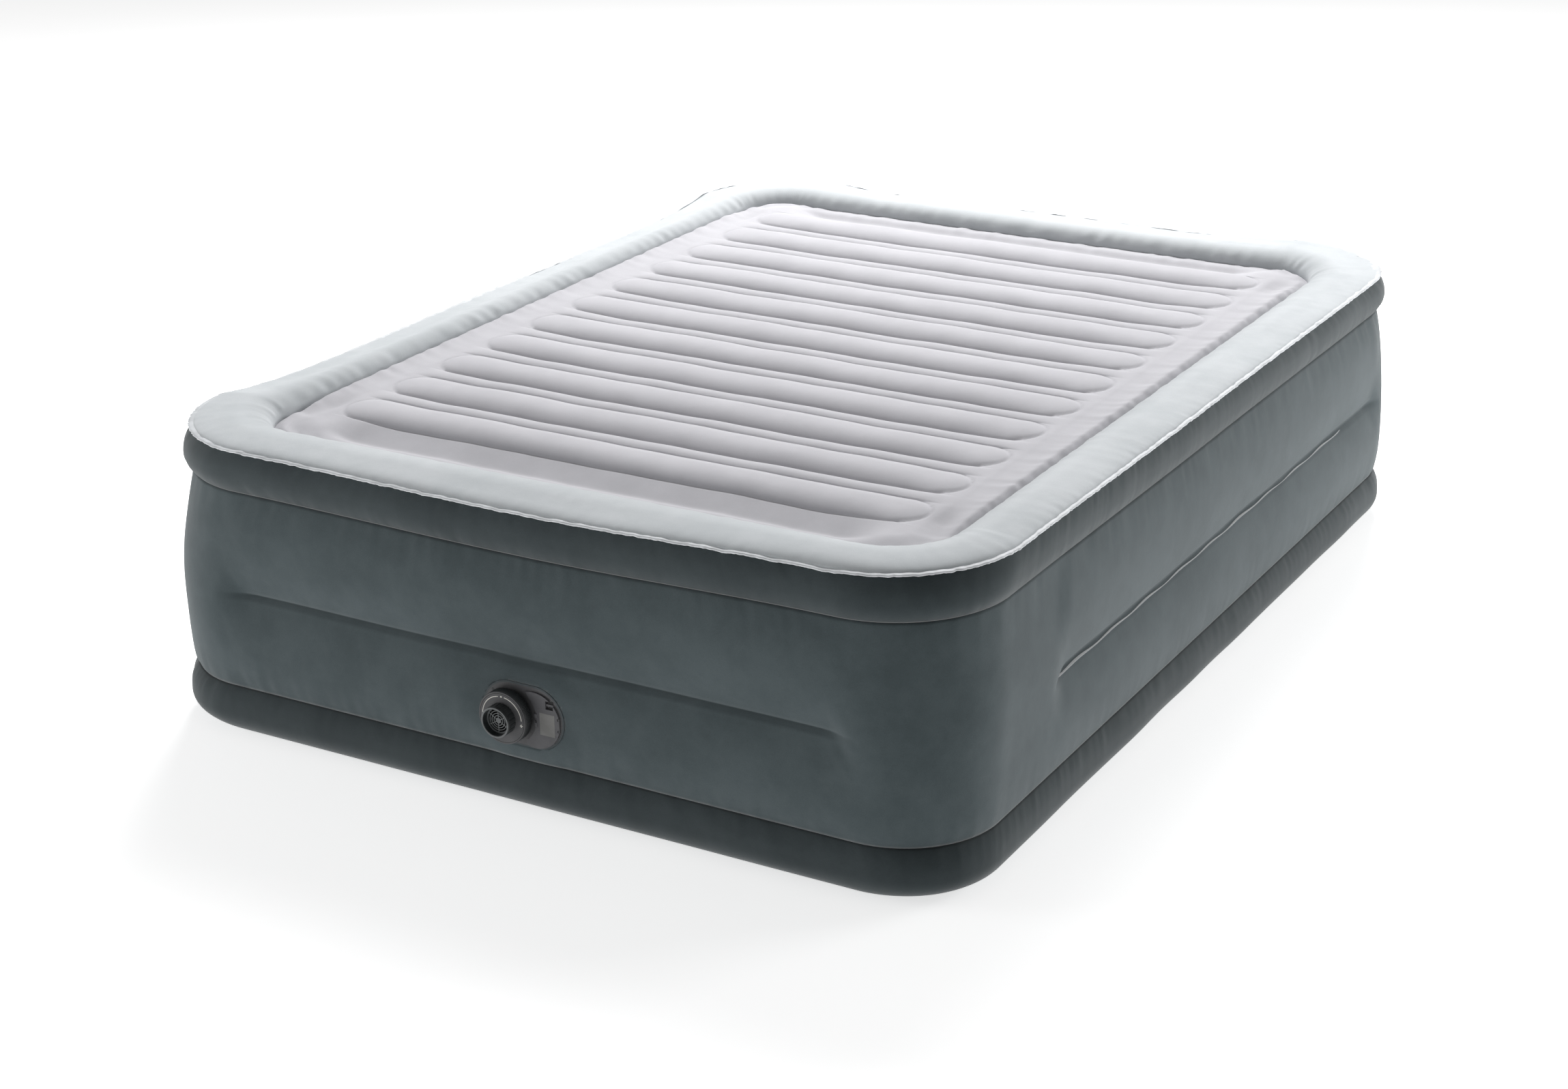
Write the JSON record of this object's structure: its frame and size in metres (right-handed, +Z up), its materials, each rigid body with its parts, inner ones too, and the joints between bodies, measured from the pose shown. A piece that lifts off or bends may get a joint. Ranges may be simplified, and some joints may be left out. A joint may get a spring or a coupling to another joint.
{
  "type": "air mattress",
  "caption": "Queen-size raised air mattress with ribbed light grey top, slate grey flocked sides and a built-in electric pump in the end wall.",
  "frame": {"origin": "on the floor under the middle of the mattress", "axes": "+X across the mattress to its right side, +Y along it away from the pump end, +Z up"},
  "size_m": [1.5242, 2.0831, 0.56],
  "materials": {
    "wall_flock": "flocked vinyl, dark slate grey",
    "top_flock": "flocked vinyl, light grey",
    "border_flock": "flocked vinyl, light blue grey",
    "weld_edge": "plain welded vinyl, pale grey",
    "base_vinyl": "plain vinyl, dark grey",
    "tie_sheet": "fibre-reinforced vinyl",
    "pump_grey": "moulded, fine texture",
    "lid_grey": "moulded, fine texture",
    "nozzle_black": "moulded, satin",
    "seal_rubber": "moulded",
    "inner_plastic": "moulded",
    "steel": "drawn",
    "bush_bronze": "sintered"
  },
  "bodies": {
    "mattress": {"border_tube": "border_flock", "bottom_sheet": "base_vinyl", "cord_gland": "seal_rubber", "cord_tray": "inner_plastic", "dial_seal": "seal_rubber", "face_plate": "pump_grey", "fan_casing": "inner_plastic", "fan_cover": "inner_plastic", "lid_catch": "lid_grey", "lid_pin": "steel", "lower_band": "wall_flock", "lower_tie_1": "tie_sheet", "lower_tie_10": "tie_sheet", "lower_tie_2": "tie_sheet", "lower_tie_3": "tie_sheet", "lower_tie_4": "tie_sheet", "lower_tie_5": "tie_sheet", "lower_tie_6": "tie_sheet", "lower_tie_7": "tie_sheet", "lower_tie_8": "tie_sheet", "lower_tie_9": "tie_sheet", "main_wall": "wall_flock", "microswitch": "inner_plastic", "motor_bush_front": "bush_bronze", "motor_bush_rear": "bush_bronze", "motor_can": "steel", "motor_cradle": "inner_plastic", "plate_screws": "steel", "pump_collar": "pump_grey", "pump_housing": "inner_plastic", "rim_flange": "weld_edge", "top_panel": "top_flock", "upper_band": "wall_flock", "upper_tie_1": "tie_sheet", "upper_tie_10": "tie_sheet", "upper_tie_2": "tie_sheet", "upper_tie_3": "tie_sheet", "upper_tie_4": "tie_sheet", "upper_tie_5": "tie_sheet", "upper_tie_6": "tie_sheet", "upper_tie_7": "tie_sheet", "upper_tie_8": "tie_sheet", "upper_tie_9": "tie_sheet", "valve_guide": "inner_plastic", "valve_spring": "steel", "waist_sheet": "tie_sheet"},
    "dial": {"dial": "pump_grey", "nozzle": "nozzle_black", "inlet_grille": "nozzle_black", "dial_retainer": "pump_grey", "air_diverter": "pump_grey"},
    "cord_lid": {"lid": "lid_grey"},
    "fan": {"impeller": "inner_plastic", "motor_shaft": "steel", "motor_rotor": "steel"},
    "check_valve": {"valve_disc": "inner_plastic"}
  },
  "joints": [
    {"name": "dial_turn", "type": "hinge", "parent": "mattress", "child": "dial", "pos_m": [-0.0145, -1.018, 0.176], "axis": [0, -1, 0], "range_deg": [-90, 90]},
    {"name": "lid_hinge", "type": "hinge", "parent": "mattress", "child": "cord_lid", "pos_m": [0.0768, -1.0213, 0.173], "axis": [0, 0, 1], "range_deg": [0, 110]},
    {"name": "fan_spin", "type": "hinge", "parent": "mattress", "child": "fan", "pos_m": [-0.0145, -0.975, 0.176], "axis": [0, -1, 0], "continuous": true},
    {"name": "valve_lift", "type": "slide", "parent": "mattress", "child": "check_valve", "axis": [0, 1, 0], "range_m": [0, 0.006], "stiffness_N_per_m": 40, "springref_m": -0.004, "deforming": ["valve_spring"]}
  ]
}
